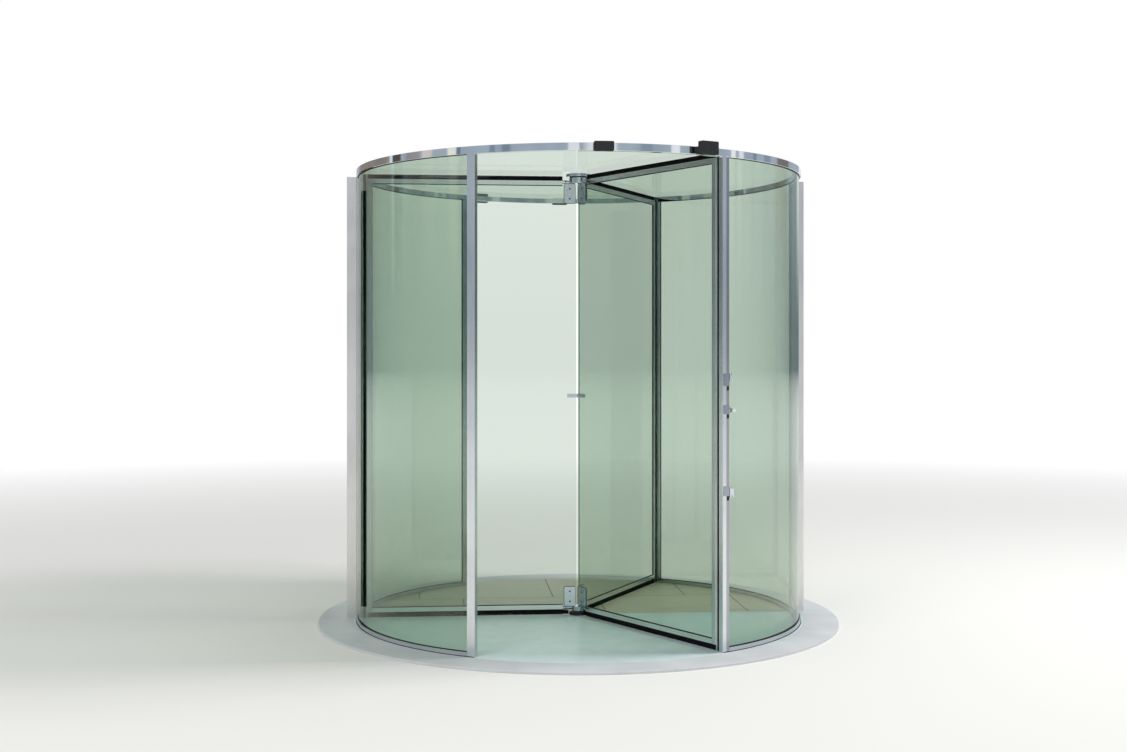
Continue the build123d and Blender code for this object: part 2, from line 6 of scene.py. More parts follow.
import bmesh
import bpy
from mathutils import Matrix, Vector


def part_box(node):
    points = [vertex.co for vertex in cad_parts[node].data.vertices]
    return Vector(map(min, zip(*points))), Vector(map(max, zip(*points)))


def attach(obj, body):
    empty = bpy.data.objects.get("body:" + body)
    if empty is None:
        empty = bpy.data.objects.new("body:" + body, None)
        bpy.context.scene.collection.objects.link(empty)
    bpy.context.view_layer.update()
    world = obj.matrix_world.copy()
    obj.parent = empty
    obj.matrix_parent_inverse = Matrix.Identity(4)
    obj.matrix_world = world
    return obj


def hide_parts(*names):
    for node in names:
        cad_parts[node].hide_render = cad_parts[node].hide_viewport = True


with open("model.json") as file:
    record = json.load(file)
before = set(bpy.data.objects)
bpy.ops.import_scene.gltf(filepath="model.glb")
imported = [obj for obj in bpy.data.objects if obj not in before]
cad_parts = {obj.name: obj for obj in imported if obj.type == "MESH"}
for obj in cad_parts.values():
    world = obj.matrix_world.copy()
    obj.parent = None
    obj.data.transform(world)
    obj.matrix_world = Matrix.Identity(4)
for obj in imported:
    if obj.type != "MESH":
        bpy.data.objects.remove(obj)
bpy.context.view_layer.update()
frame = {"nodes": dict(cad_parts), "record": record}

# Sizes of the real door in metres: first what the solids tell, then what only their source names
rails_low, rails_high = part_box("wing_3_rails")
stile_low, stile_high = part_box("wing_3_stile")
FLOOR_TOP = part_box("floor_disc")[1].z
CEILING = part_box("ceiling_glass")[0].z
RING_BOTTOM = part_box("canopy_ring_right")[0].z
SEAL_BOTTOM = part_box("wing_3_seals")[0].z
RAIL_START = -rails_high.x
BOTTOM_RAIL_BOTTOM = rails_low.z
TOP_RAIL_TOP = rails_high.z
STILE_INNER = -stile_high.x
STILE_OUTER = -stile_low.x

WING_ANGLES = (-60.0, 60.0, 180.0)
DRUM_RADIUS = 1.450
INNER_RADIUS = 1.414
POST_ANGLE = 59.51
RAIL_HEIGHT = 0.030
GLASS_HALF = 0.006
CLAMP_FACE = 0.014
CLAMP_MIDDLE = 0.0565
CLAMP_SCREW_HALF_SPACING = 0.033
CLAMP_SCREW_DEPTH = 0.005
CONNECTOR_SCREW_RADIUS = 0.040
CONNECTOR_FACE = 0.012
CONNECTOR_SCREW_DEPTH = 0.003
ARM_SCREW_RADIUS = 0.083
ARM_SCREW_SEAT = 0.0075
ARM_OFFSET = 0.007


# Studio

def look_at_door():
    """Camera at the photograph's place: level, five degrees to the right, horizon just above the middle."""
    data = bpy.data.cameras.new("camera")
    data.sensor_width = 36.0
    data.lens = 45.11
    data.shift_y = -0.0234
    data.clip_end = 500.0
    camera = bpy.data.objects.new("camera", data)
    camera.location = (-0.9072, -9.2831, 1.7615)
    camera.rotation_euler = (radians(90.0), 0.0, radians(-4.986))
    bpy.context.scene.collection.objects.link(camera)
    bpy.context.scene.camera = camera


def softbox(name, place, target, size, power):
    """Large soft lamp. Metal and glass reflect the panels of the studio in its place."""
    data = bpy.data.lights.new(name, "AREA")
    data.shape = "RECTANGLE"
    data.size, data.size_y = size
    data.energy = power
    lamp = bpy.data.objects.new(name, data)
    lamp.location = place
    lamp.rotation_euler = (Vector(target) - Vector(place)).to_track_quat("-Z", "Y").to_euler()
    lamp.visible_glossy = False
    lamp.visible_transmission = False
    bpy.context.scene.collection.objects.link(lamp)


# Shader helpers

def linear(hex_colour):
    """An sRGB hex colour as linear numbers."""
    channels = [int(hex_colour[i : i + 2], 16) / 255 for i in (1, 3, 5)]
    return tuple(c / 12.92 if c <= 0.04045 else ((c + 0.055) / 1.055) ** 2.4 for c in channels) + (1.0,)


def add(tree, kind, settings=None, **inputs):
    """Adds a shader node. Settings are its properties, and for a colour ramp its stops, place and colour.

    Inputs are numbers, colours, sockets, or nodes that feed it by their first output in use. An input's
    name has underscores for blanks, and an underscore with a number is an input by its place.
    """
    node = tree.nodes.new("ShaderNode" + kind)
    settings = dict(settings or {})
    stops = settings.pop("stops", ())
    for name, value in settings.items():
        setattr(node, name, value)
    for _ in stops[2:]:
        node.color_ramp.elements.new(1.0)
    for place, (position, colour) in enumerate(stops):
        node.color_ramp.elements[place].position = position
        node.color_ramp.elements[place].color = linear(colour)
    for name, value in inputs.items():
        socket = node.inputs[int(name[1:])] if name[1:].isdigit() else node.inputs[name.replace("_", " ")]
        if isinstance(value, bpy.types.Node):
            value = next(output for output in value.outputs if output.enabled)
        if isinstance(value, bpy.types.NodeSocket):
            tree.links.new(value, socket)
        else:
            socket.default_value = value
    return node


def empty_material(name):
    """A material without nodes, and its node tree."""
    material = bpy.data.materials.new(name)
    material.use_nodes = True
    material.node_tree.nodes.clear()
    return material, material.node_tree


def grain(tree, millimetres, stretch=(1.0, 1.0, 1.0), detail=2.0, roughness=0.5):
    """Noise on object coordinates, its blots about that many millimetres wide, stretched along an axis."""
    coordinates = add(tree, "TexCoord").outputs["Object"]
    scale = tuple(1000.0 / (millimetres * s) for s in stretch)
    placed = add(tree, "Mapping", Vector=coordinates, Scale=scale)
    return add(tree, "TexNoise", Vector=placed, Scale=1.0, Detail=detail, Roughness=roughness)


# Metals

def painted_light_mask(tree, angle, radius):
    """1 on the right half of the drum within an angle of its sideways axis and outside a radius, else 0."""
    place = add(tree, "SeparateXYZ", Vector=add(tree, "TexCoord").outputs["Object"]).outputs
    off_axis = add(tree, "Math", {"operation": "ABSOLUTE"}, _0=place["Y"])
    turned = add(tree, "Math", {"operation": "ARCTAN2"}, _0=off_axis, _1=place["X"])
    within = add(tree, "Math", {"operation": "LESS_THAN"}, _0=turned, _1=radians(angle))
    flat = add(tree, "CombineXYZ", X=place["X"], Y=place["Y"])
    distance = add(tree, "VectorMath", {"operation": "LENGTH"}, _0=flat)
    outside = add(tree, "Math", {"operation": "GREATER_THAN"}, _0=distance, _1=radius)
    return add(tree, "Math", {"operation": "MULTIPLY"}, _0=within, _1=outside)


def brushed_metal(name, light, dark, roughness, along, wear=0.06, painted_side=None):
    """A drawn and brushed profile: fine lines along it, a few cloudy patches, roughness that follows both.

    The lines are drawn 3 mm wide, coarser than real ones, so that they show. A painted side is an angle, a
    radius and the colour painted on the right side there: painted shade on the post, a painted highlight on
    the lock plate.
    """
    material, tree = empty_material(name)
    lines = grain(tree, 3, along, detail=3.0)
    clouds = grain(tree, 350, detail=2.0)
    mixed = add(tree, "Math", {"operation": "MULTIPLY_ADD"}, _0=lines, _1=0.5, _2=clouds)
    colour = add(tree, "ValToRGB", {"stops": ((0.35, dark), (0.95, light))}, Fac=mixed)
    # Painted light: the right side gets its own colour, as painted shade on the post and as a painted
    # highlight on the lock plate
    if painted_side:
        angle, radius, shade = painted_side
        inside = painted_light_mask(tree, angle, radius)
        colour = add(tree, "MixRGB", Fac=inside, Color1=colour, Color2=linear(shade))
    metal = add(
        tree,
        "BsdfPrincipled",
        Base_Color=colour,
        Metallic=1.0,
        Roughness=add(tree, "MapRange", Value=lines, To_Min=roughness - wear, To_Max=roughness + wear),
        Normal=add(tree, "Bump", Height=lines, Strength=0.06, Distance=0.0004),
    )
    add(tree, "OutputMaterial", Surface=metal)
    return material


def polished_steel(name, light, dark, roughness, waviness):
    """Mirror polished stainless steel: sheet that is never quite flat, with a faint cloudy tint."""
    material, tree = empty_material(name)
    waves = grain(tree, 180, detail=1.0)
    haze = grain(tree, 50, detail=3.0)
    steel = add(
        tree,
        "BsdfPrincipled",
        Base_Color=add(tree, "ValToRGB", {"stops": ((0.3, dark), (0.7, light))}, Fac=waves),
        Metallic=1.0,
        Roughness=add(tree, "MapRange", Value=haze, To_Min=roughness * 0.6, To_Max=roughness * 1.5),
        Normal=add(tree, "Bump", Height=waves, Strength=waviness, Distance=0.004),
    )
    add(tree, "OutputMaterial", Surface=steel)
    return material


def dark_steel():
    """Blackened steel cover of the floor bearing: dull, a little brown, scuffed lighter."""
    material, tree = empty_material("blackened_steel")
    scuffs = grain(tree, 20, detail=5.0, roughness=0.6)
    shades = ((0.3, "#2b2a2c"), (0.6, "#3d3b3c"), (0.8, "#5a5149"))
    steel = add(
        tree,
        "BsdfPrincipled",
        Base_Color=add(tree, "ValToRGB", {"stops": shades}, Fac=scuffs),
        Metallic=0.7,
        Roughness=add(tree, "MapRange", Value=scuffs, To_Min=0.35, To_Max=0.6),
        Normal=add(tree, "Bump", Height=scuffs, Strength=0.1, Distance=0.0004),
    )
    add(tree, "OutputMaterial", Surface=steel)
    return material


# Floor

# The disc is filled with green resin in front of this line and with stone slabs behind it, in metres
FILLING_LINE = 0.0
SLAB_WIDTH = 0.945
SLAB_LENGTH = 1.26
SLAB_CORNER_X = -0.113
SLAB_CORNER_Y = 0.66
# Each row is shifted by this share of a slab against the row before
SLAB_SHIFT = 0.669
# The joint is drawn coarser than the real one of about 2 mm, so that it shows at a distance
SLAB_JOINT = 0.0045


def filled_floor():
    """Pale green poured resin, smooth and satin, in the front half; honed beige slabs in the rear half."""
    material, tree = empty_material("poured_resin_and_honed_stone")
    coordinates = add(tree, "TexCoord").outputs["Object"]
    mottle = grain(tree, 120, detail=5.0, roughness=0.6)
    resin = add(tree, "ValToRGB", {"stops": ((0.3, "#cde0e2"), (0.7, "#daebec"))}, Fac=mottle)
    corner = (SLAB_CORNER_X, SLAB_CORNER_Y - SLAB_LENGTH, 0.0)
    slabs = add(
        tree,
        "TexBrick",
        {"offset": SLAB_SHIFT},
        Vector=add(tree, "VectorMath", {"operation": "SUBTRACT"}, _0=coordinates, _1=corner),
        Color1=linear("#d9cdb8"),
        Color2=linear("#cbbea7"),
        Mortar=linear("#625c50"),
        Scale=1.0,
        Mortar_Size=SLAB_JOINT,
        Mortar_Smooth=0.1,
        Brick_Width=SLAB_WIDTH,
        Row_Height=SLAB_LENGTH,
    )
    clouds = grain(tree, 40, (3.0, 1.0, 1.0), detail=6.0, roughness=0.65)
    veins = add(tree, "ValToRGB", {"stops": ((0.3, "#d0d0d0"), (0.75, "#ffffff"))}, Fac=clouds)
    stone = add(tree, "MixRGB", {"blend_type": "MULTIPLY"}, Fac=0.6, Color1=slabs, Color2=veins)
    along = add(tree, "SeparateXYZ", Vector=coordinates).outputs["Y"]
    behind = add(tree, "Math", {"operation": "GREATER_THAN"}, _0=along, _1=FILLING_LINE)
    satin = add(tree, "MapRange", Value=mottle, To_Min=0.24, To_Max=0.36)
    filling = add(
        tree,
        "BsdfPrincipled",
        Base_Color=add(tree, "MixRGB", Fac=behind, Color1=resin, Color2=stone),
        Roughness=add(tree, "Math", {"operation": "MULTIPLY_ADD"}, _0=behind, _1=0.12, _2=satin),
    )
    add(tree, "OutputMaterial", Surface=filling)
    return material


def coated_ring():
    """Pale grey powder coat on the floor ring: an even grain with a trace of blue, quite dull.

    The grain is drawn 6 mm wide, coarser than the real one, so that it shows.
    """
    material, tree = empty_material("powder_coated_steel")
    speckle = grain(tree, 6, detail=3.0, roughness=0.7)
    clouds = grain(tree, 300, detail=3.0)
    mixed = add(tree, "Math", {"operation": "MULTIPLY_ADD"}, _0=speckle, _1=0.3, _2=clouds)
    coat = add(
        tree,
        "BsdfPrincipled",
        Base_Color=add(tree, "ValToRGB", {"stops": ((0.4, "#c2c6c9"), (0.9, "#d2d5d8"))}, Fac=mixed),
        Roughness=add(tree, "MapRange", Value=speckle, To_Min=0.5, To_Max=0.62),
        Normal=add(tree, "Bump", Height=speckle, Strength=0.08, Distance=0.0004),
    )
    add(tree, "OutputMaterial", Surface=coat)
    return material


# Glass

GLASS_INDEX = 1.52


def pane_edge(tree, lie):
    """1 on the ground edges of a pane, 0 on its faces. A pane lies round the drum, along a wing or level."""
    coordinates = add(tree, "TexCoord").outputs
    if lie == "level":
        across = add(tree, "SeparateXYZ", Vector=coordinates["Normal"]).outputs["Z"]
    else:
        level = (1.0, 1.0, 0.0)
        flat = add(tree, "VectorMath", {"operation": "MULTIPLY"}, _0=coordinates["Object"], _1=level)
        outwards = add(tree, "VectorMath", {"operation": "NORMALIZE"}, _0=flat)
        if lie == "along":
            up = (0.0, 0.0, 1.0)
            outwards = add(tree, "VectorMath", {"operation": "CROSS_PRODUCT"}, _0=outwards, _1=up)
        across = add(
            tree, "VectorMath", {"operation": "DOT_PRODUCT"}, _0=outwards, _1=coordinates["Normal"]
        )
    facing_out = add(tree, "Math", {"operation": "ABSOLUTE"}, _0=across)
    return add(tree, "MapRange", Value=facing_out, From_Min=0.6, From_Max=0.8, To_Min=1.0, To_Max=0.0)


def float_glass(name, lie, waviness, coating=0.0):
    """Clear float glass with the green of its iron: pale across the pane, bright green at its ground edges.

    The coating is the share of what the pane mirrors that a coat against glare takes away.
    """
    material, tree = empty_material(name)
    edge = pane_edge(tree, lie)
    roller_waves = add(
        tree, "Bump", Height=grain(tree, 450, detail=1.0), Strength=waviness, Distance=0.003
    )
    pane = add(
        tree,
        "BsdfPrincipled",
        Base_Color=add(tree, "ValToRGB", {"stops": ((0.0, "#ffffff"), (1.0, "#3fa05a"))}, Fac=edge),
        Roughness=add(tree, "MapRange", Value=edge, To_Min=0.0, To_Max=0.35),
        IOR=GLASS_INDEX,
        Transmission_Weight=add(tree, "MapRange", Value=edge, To_Min=1.0, To_Max=0.0),
        Normal=roller_waves,
    )
    if coating:
        through = add(
            tree,
            "BsdfRefraction",
            Color=linear("#ffffff"),
            Roughness=0.0,
            IOR=GLASS_INDEX,
            Normal=roller_waves,
        )
        pane = add(tree, "MixShader", _0=coating, _1=pane, _2=through)
    clear = add(tree, "BsdfTransparent", Color=linear("#fafafa"))
    path = add(tree, "LightPath").outputs
    lamp_or_diffuse = add(
        tree, "Math", {"operation": "MAXIMUM"}, _0=path["Is Shadow Ray"], _1=path["Is Diffuse Ray"]
    )
    surface = add(tree, "MixShader", _0=lamp_or_diffuse, _1=pane, _2=clear)
    tint = add(tree, "VolumeAbsorption", Color=linear("#309945"), Density=27.0)
    add(tree, "OutputMaterial", Surface=surface, Volume=tint)
    return material


# Rubber, brush and plastic

def glazing_rubber():
    """Extruded glazing rubber: dull black, slightly dusty."""
    material, tree = empty_material("glazing_rubber")
    dust = grain(tree, 10, detail=4.0)
    rubber = add(
        tree,
        "BsdfPrincipled",
        Base_Color=add(tree, "ValToRGB", {"stops": ((0.35, "#101112"), (0.8, "#202224"))}, Fac=dust),
        Roughness=add(tree, "MapRange", Value=dust, To_Min=0.6, To_Max=0.8),
    )
    add(tree, "OutputMaterial", Surface=rubber)
    return material


def nylon_bristles():
    """Black nylon brush: deep black with a faint shine along the hairs.

    The hairs are drawn 4 mm wide, coarser than real ones, so that they show.
    """
    material, tree = empty_material("nylon_bristles")
    hairs = grain(tree, 4, detail=3.0)
    brush = add(
        tree,
        "BsdfPrincipled",
        Base_Color=add(tree, "ValToRGB", {"stops": ((0.3, "#020202"), (0.8, "#0c0c0d"))}, Fac=hairs),
        Roughness=add(tree, "MapRange", Value=hairs, To_Min=0.6, To_Max=0.85),
        Specular_IOR_Level=0.2,
    )
    add(tree, "OutputMaterial", Surface=brush)
    return material


def moulded_plastic(name, light, dark):
    """Black moulded housing with a fine spark-eroded grain, drawn 1.5 mm wide so that it shows."""
    material, tree = empty_material(name)
    pits = grain(tree, 1.5, detail=2.0)
    plastic = add(
        tree,
        "BsdfPrincipled",
        Base_Color=add(tree, "ValToRGB", {"stops": ((0.3, dark), (0.75, light))}, Fac=pits),
        Roughness=add(tree, "MapRange", Value=pits, To_Min=0.42, To_Max=0.6),
        Normal=add(tree, "Bump", Height=pits, Strength=0.25, Distance=0.0003),
    )
    add(tree, "OutputMaterial", Surface=plastic)
    return material


# Stretch of the brushing lines in X, Y and Z
UPRIGHT = (1.0, 1.0, 60.0)
ALL_WAYS = (4.0, 4.0, 1.0)
# Painted light on the right front post, as angle from the X axis, radius and colour: the post's side darker
# as painted shade, the lock plate's turned side lighter as a painted highlight
POST_PAINTED_SHADE = (59.39, 1.4465, "#aeb0b9")
PLATE_PAINTED_HIGHLIGHT = (58.48, 1.44, "#eceef1")

slot_materials = {
    "floor_resin": filled_floor(),
    "floor_coating": coated_ring(),
    "dark_metal": dark_steel(),
    "post_metal": brushed_metal(
        "satin_anodised_aluminium", "#ebedef", "#d6d9dd", roughness=0.2, along=UPRIGHT, painted_side=POST_PAINTED_SHADE
    ),
    "channel_metal": brushed_metal(
        "satin_anodised_channel", "#d9dcdf", "#bfc4c8", roughness=0.22, along=ALL_WAYS
    ),
    "connection_metal": brushed_metal(
        "satin_anodised_wall_post", "#efedea", "#d8d6d3", roughness=0.3, along=UPRIGHT
    ),
    "wall_glass": float_glass("bent_float_glass", lie="round", waviness=0.12),
    "wing_glass": float_glass("toughened_float_glass", lie="along", waviness=0.03),
    "ceiling_glass": float_glass(
        "coated_laminated_float_glass", lie="level", waviness=0.03, coating=0.8
    ),
    "gasket_rubber": glazing_rubber(),
    "ring_metal": polished_steel(
        "mirror_stainless_steel", "#eef0f2", "#d6dbe0", roughness=0.05, waviness=0.12
    ),
    "hub_metal": polished_steel(
        "polished_stainless_steel", "#cdd4d9", "#9da8b0", roughness=0.07, waviness=0.1
    ),
    "clamp_metal": brushed_metal(
        "satin_stainless_steel", "#dde3e6", "#c0cad0", roughness=0.24, along=ALL_WAYS
    ),
    "rail_metal": brushed_metal(
        "anodised_rail_aluminium", "#e8ecea", "#cfd7d4", roughness=0.15, along=ALL_WAYS, wear=0.04
    ),
    "stile_metal": brushed_metal(
        "anodised_stile_aluminium", "#dde3e1", "#c0c8c5", roughness=0.24, along=UPRIGHT
    ),
    "seal_brush": nylon_bristles(),
    "sensor_plastic": moulded_plastic("moulded_black_housing", "#222527", "#111314"),
    "bracket_plastic": moulded_plastic("moulded_black_bracket", "#1f1e1d", "#0f0f0f"),
    "lock_metal": brushed_metal(
        "satin_lock_steel", "#b4bac3", "#98a0ab", roughness=0.24, along=UPRIGHT, painted_side=PLATE_PAINTED_HIGHLIGHT
    ),
    "knob_chrome": polished_steel("bright_chrome", "#f0f2f4", "#dde1e5", roughness=0.05, waviness=0.02),
}

for part in frame["record"]["subparts"]:
    for material_slot in frame["nodes"][part["node"]].material_slots:
        material_slot.material = slot_materials[part["material_slot"]]


# Modelling helpers

def active_object():
    return bpy.context.view_layer.objects.active


def start_clean():
    bpy.ops.object.select_all(action="DESELECT")


def activate(piece):
    """Makes a piece the active one, and the only one selected."""
    start_clean()
    piece.select_set(True)
    bpy.context.view_layer.objects.active = piece


def edit(piece, mode):
    """Opens a piece in edit mode with nothing selected, picking vertices, edges or faces."""
    activate(piece)
    bpy.ops.object.mode_set(mode="EDIT")
    bpy.ops.mesh.select_mode(type=mode)
    bpy.ops.mesh.select_all(action="DESELECT")
    return bmesh.from_edit_mesh(piece.data)


def close(piece):
    bpy.ops.object.mode_set(mode="OBJECT")
    return piece


def pick(mesh, piece, wanted):
    """Selects the faces whose middle and normal satisfy a test."""
    for face in mesh.faces:
        face.select_set(wanted(face.calc_center_median(), face.normal))
    bmesh.update_edit_mesh(piece.data)


def pick_edges(mesh, piece, wanted):
    """Selects the edges whose two ends satisfy a test."""
    for line in mesh.edges:
        first, second = (corner.co for corner in line.verts)
        line.select_set(wanted(first, second))
    bmesh.update_edit_mesh(piece.data)


def pick_corners(mesh, piece, wanted):
    """Selects the corners whose place satisfies a test."""
    for corner in mesh.verts:
        corner.select_set(wanted(corner.co))
    bmesh.update_edit_mesh(piece.data)


def is_top(middle, normal):
    """A test that picks the faces that look up."""
    return normal.z > 0.9


def apply_modifier(piece, kind, **settings):
    """Adds a modifier with its settings to a piece, and applies it."""
    activate(piece)
    bpy.ops.object.modifier_add(type=kind)
    modifier = piece.modifiers[-1]
    for name, value in settings.items():
        setattr(modifier, name, value)
    bpy.ops.object.modifier_apply(modifier=modifier.name)


def settle(piece):
    """Puts the piece's place into its mesh."""
    activate(piece)
    bpy.ops.object.transform_apply(location=True, rotation=True, scale=True)


def cuboid(middle, size):
    """A box of a size round its middle."""
    start_clean()
    bpy.ops.mesh.primitive_cube_add(size=1.0, location=middle, scale=size)
    piece = active_object()
    settle(piece)
    return piece


def cylinder(radius, depth, middle, vertices=32):
    """A cylinder along Z with its middle at a height."""
    start_clean()
    bpy.ops.mesh.primitive_cylinder_add(
        vertices=vertices, radius=radius, depth=depth, location=(0, 0, middle)
    )
    piece = active_object()
    settle(piece)
    return piece


def upright_square(size, x, z):
    """A square round a point of the XZ plane, in that plane."""
    start_clean()
    bpy.ops.mesh.primitive_plane_add(size=size, location=(x, 0, z), rotation=(radians(90.0), 0, 0))
    piece = active_object()
    settle(piece)
    return piece


def copied(piece, name, *places):
    """Copies a piece to each place, each copy with its own mesh, and joins them under one name."""
    copies = []
    for place in places:
        twin = piece.copy()
        twin.data = piece.data.copy()
        twin.data.transform(place)
        bpy.context.scene.collection.objects.link(twin)
        copies.append(twin)
    start_clean()
    for twin in copies:
        twin.select_set(True)
    bpy.context.view_layer.objects.active = copies[0]
    if len(copies) > 1:
        bpy.ops.object.join()
    group = active_object()
    group.name = name
    group.data.name = name
    return group


def joined(pieces, name):
    """Joins pieces into one under a name."""
    start_clean()
    for piece in pieces:
        piece.select_set(True)
    bpy.context.view_layer.objects.active = pieces[0]
    bpy.ops.object.join()
    whole = active_object()
    whole.name = whole.data.name = name
    return whole


def outwards_only(piece):
    """Turns all faces of closed shells outwards after mirroring or spinning."""
    edit(piece, "VERT")
    bpy.ops.mesh.select_all(action="SELECT")
    bpy.ops.mesh.remove_doubles(threshold=0.00001)
    bpy.ops.mesh.normals_make_consistent(inside=False)
    close(piece)


def discard(piece):
    bpy.data.objects.remove(piece)


def smooth(piece, angle=35.0):
    activate(piece)
    bpy.ops.object.shade_smooth_by_angle(angle=radians(angle))


def dress(piece, slot, body, *replaced):
    """Gives a piece its finish, its slot and its body, and names the solids that it stands for."""
    piece.data.materials.clear()
    piece.data.materials.append(slot_materials[slot])
    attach(piece, body)
    if replaced:
        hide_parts(*replaced)


def turn(angle):
    """A turn round the Z axis, in degrees."""
    return Matrix.Rotation(radians(angle), 4, "Z")


def facing(angle, side, radius, height, face):
    """Place on a wing: radius along it, height, and the face at that distance, on one side of its glass."""
    return (
        turn(angle)
        @ Matrix.Translation((radius, side * face, height))
        @ Matrix.Rotation(radians(-90.0 * side), 4, "X")
    )


def revolved(radius, height, size):
    """A ring round +Z: a square of a size with rounded corners, turned at a radius and a height."""
    ring = upright_square(size, radius, height)
    corner = size * 0.2
    edit(ring, "VERT")
    bpy.ops.mesh.select_all(action="SELECT")
    bpy.ops.mesh.bevel(offset=corner, segments=2, affect="VERTICES")
    bpy.ops.mesh.select_all(action="SELECT")
    bpy.ops.mesh.delete(type="ONLY_FACE")
    bpy.ops.mesh.select_all(action="SELECT")
    bpy.ops.mesh.spin(steps=72, angle=2 * pi, center=(0, 0, 0), axis=(0, 0, 1))
    return close(ring)


# Screws

def socket_screw(diameter, height, socket):
    """A round screw head along +Z from zero, with a bevelled rim and a hexagonal socket."""
    rim = height * 0.18
    head = cylinder(diameter / 2, height, height / 2)
    mesh = edit(head, "FACE")
    pick(mesh, head, is_top)
    bpy.ops.mesh.inset(thickness=rim, depth=0.0)
    bpy.ops.transform.translate(value=(0, 0, rim))
    close(head)
    cutter = cylinder(socket / 2, height, height, vertices=6)
    apply_modifier(head, "BOOLEAN", operation="DIFFERENCE", object=cutter, solver="EXACT")
    discard(cutter)
    smooth(head)
    return head


def clamp_screws(name, node):
    """Dark screws of the clamps at one height, two in each plate."""
    low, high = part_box(node)
    middle = (low.z + high.z) / 2
    head = socket_screw(diameter=0.0105, height=0.0035, socket=0.0055)
    seat = CLAMP_FACE - CLAMP_SCREW_DEPTH
    places = [
        facing(angle, side, CLAMP_MIDDLE, middle + step * CLAMP_SCREW_HALF_SPACING, seat)
        for angle in WING_ANGLES
        for side in (-1, 1)
        for step in (-1, 1)
    ]
    screws = copied(head, name, *places)
    discard(head)
    dress(screws, "dark_metal", "rotor")


def connector_screws():
    """Bright screws of the connector halfway up, one on each side of each wing."""
    low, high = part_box("mid_connector")
    middle = (low.z + high.z) / 2
    head = socket_screw(diameter=0.008, height=0.0026, socket=0.004)
    seat = CONNECTOR_FACE - CONNECTOR_SCREW_DEPTH
    places = [
        facing(angle, side, CONNECTOR_SCREW_RADIUS, middle, seat)
        for angle in WING_ANGLES
        for side in (-1, 1)
    ]
    screws = copied(head, "connector_screws", *places)
    discard(head)
    dress(screws, "hub_metal", "rotor")


def arm_screws():
    """Set screws that pin the arms of both hubs to the rails."""
    head = socket_screw(diameter=0.0085, height=0.004, socket=0.0045)
    levels = (
        BOTTOM_RAIL_BOTTOM + RAIL_HEIGHT / 2 - ARM_OFFSET,
        TOP_RAIL_TOP - RAIL_HEIGHT / 2 + ARM_OFFSET,
    )
    places = [
        facing(angle, side, ARM_SCREW_RADIUS, level, ARM_SCREW_SEAT)
        for level in levels
        for angle in WING_ANGLES
        for side in (-1, 1)
    ]
    screws = copied(head, "arm_screws", *places)
    discard(head)
    dress(screws, "dark_metal", "rotor")


# Lock fittings of the right front post. On the post, X is outwards, Y runs to the glass and Z is up.

# Height of the middle and length of each lock plate
LOCK_HEIGHTS = ((1.588, 0.072), (1.416, 0.052), (0.945, 0.057))
SLOT_SIDE = 0.0215
SLOT_WIDTH = 0.013
SLOT_HEIGHT = 0.024
SLOT_GAP = 0.002
SLOT_FLOOR = 1.4455
SLOT_FACE = 1.4485
SLOT_FLANGE = 0.0008
SLOT_FLANGE_MARGIN = 0.0025
SLOT_PLAY = 0.0006
CUP_FLOOR_PLAY = 0.001
GROOVE_MARGIN = 0.0045
GROOVE_SLOPE = 0.0006
GROOVE_DEPTH = 0.0024
HOUSING_FACE = 1.453
HOUSING_START = 0.02715
HOUSING_SCREW_MARGIN = 0.005
# Width, lower end and upper end of each housing
LATCH_HOUSING = (0.023, 1.578, 1.624)
KEY_HOUSING = (0.031, 0.905, 0.965)
LATCH_CYLINDER_END = 1.458
LATCH_CYLINDER_RISE = 0.012
LATCH_CAP_RADIUS = 0.0056
LATCH_CAP_DEPTH = 0.0016
LATCH_CAP_SEAT = 0.0004
LATCH_CAP_RIM = 0.0012
LATCH_CAP_DOME = 0.0006
# The screw at the post's head: in from the drum's inner face, across from the post's middle, below the ring
HEAD_SCREW_INSET = 0.010
HEAD_SCREW_ACROSS = -0.025
HEAD_SCREW_DROP = 0.009
ROSETTE_RADIUS = 0.0138
KNOB_ANGLE = POST_ANGLE - 1.62
GLASS_OUTSIDE = 1.438
# Turns what points up so that it points outwards
OUTWARDS = Matrix.Rotation(radians(90.0), 4, "Y")


def on_lock_post(radius, across, height):
    """A place on the right front post, in the post's own directions."""
    return turn(-POST_ANGLE) @ Matrix.Translation((radius, across, height))


def painted_shade_slot_inserts():
    """Black moulded cups, each with a flange and a finger groove, as painted shade in the pockets below the
    lock plates.
    """
    width = SLOT_WIDTH - SLOT_PLAY
    height = SLOT_HEIGHT - SLOT_PLAY
    cup = cuboid(
        (SLOT_FACE, 0, 0),
        (2 * SLOT_FLANGE, width + 2 * SLOT_FLANGE_MARGIN, height + SLOT_FLANGE_MARGIN / 2),
    )
    inwards = (SLOT_FLOOR + CUP_FLOOR_PLAY - SLOT_FACE, 0, 0)
    mesh = edit(cup, "FACE")
    pick(mesh, cup, lambda middle, normal: normal.x < -0.9)
    bpy.ops.mesh.inset(thickness=SLOT_FLANGE_MARGIN, depth=0.0)
    bpy.ops.mesh.extrude_region_move(TRANSFORM_OT_translate={"value": inwards})
    pick(mesh, cup, lambda middle, normal: normal.x > 0.9)
    bpy.ops.mesh.inset(thickness=GROOVE_MARGIN, depth=0.0)
    bpy.ops.mesh.inset(thickness=GROOVE_SLOPE, depth=-GROOVE_DEPTH)
    close(cup)
    apply_modifier(cup, "BEVEL", width=0.0004, segments=2, limit_method="ANGLE")
    smooth(cup)
    places = [
        on_lock_post(0, SLOT_SIDE - SLOT_WIDTH / 2, level - length / 2 - SLOT_GAP - SLOT_HEIGHT / 2)
        for level, length in LOCK_HEIGHTS
    ]
    inserts = copied(cup, "lock_slot_shade_inserts", *places)
    discard(cup)
    # The black of the cups is painted shade below each lock plate
    dress(inserts, "sensor_plastic", "drum")


